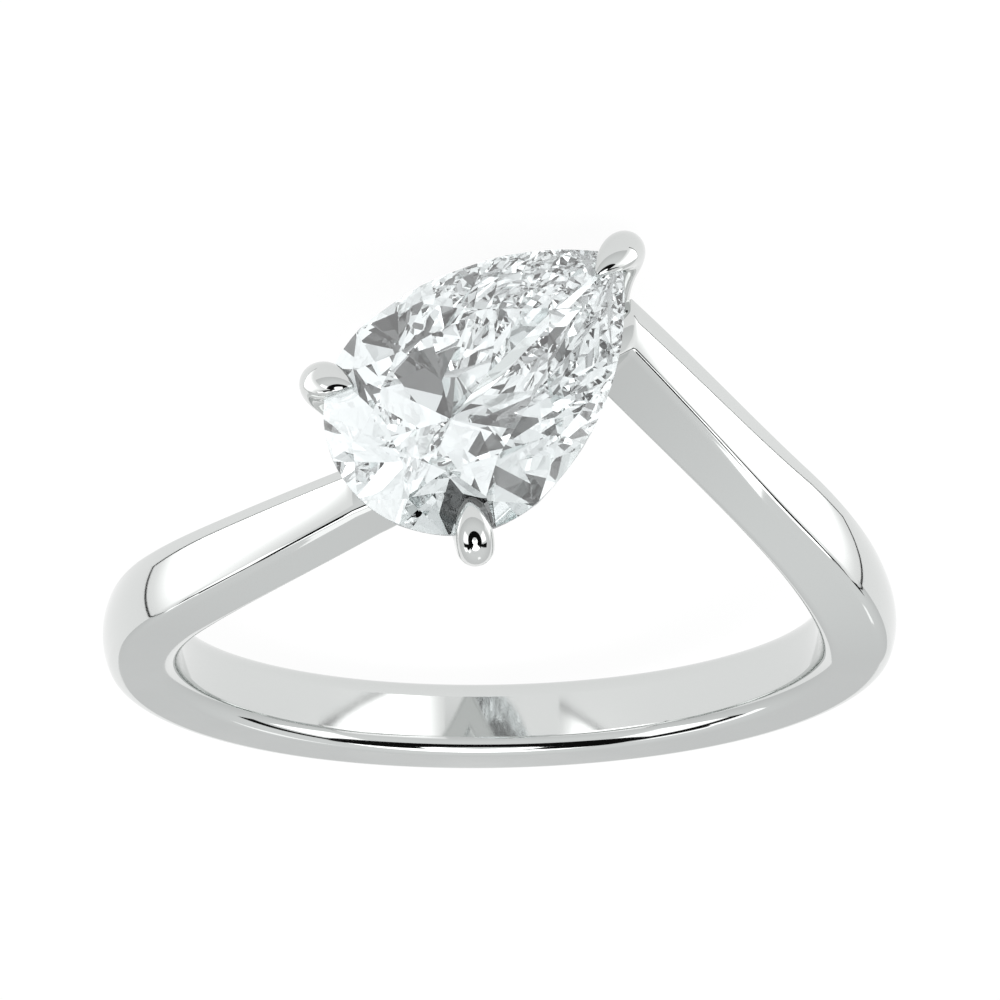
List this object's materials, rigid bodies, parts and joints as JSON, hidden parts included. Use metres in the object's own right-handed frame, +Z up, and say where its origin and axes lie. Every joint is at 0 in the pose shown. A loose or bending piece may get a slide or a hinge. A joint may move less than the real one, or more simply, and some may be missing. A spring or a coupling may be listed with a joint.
{
  "type": "finger ring",
  "caption": "Finger ring with a pear cut clear stone set aslant in claws, on a polished white metal shank whose arms meet in an off-centre V.",
  "frame": {"origin": "centre of the bounding box's bottom face, on the floor the ring lies on", "axes": "+Z up from the floor; the ring lies on its side with the stone's table facing -Y and a little up; +X is on the left in the picture"},
  "size_m": [0.0214, 0.025, 0.0082],
  "materials": {
    "metal": "polished",
    "stone": "polished"
  },
  "bodies": {
    "root": {"ring_mounting": "metal", "pear_stone": "stone"}
  },
  "joints": []
}
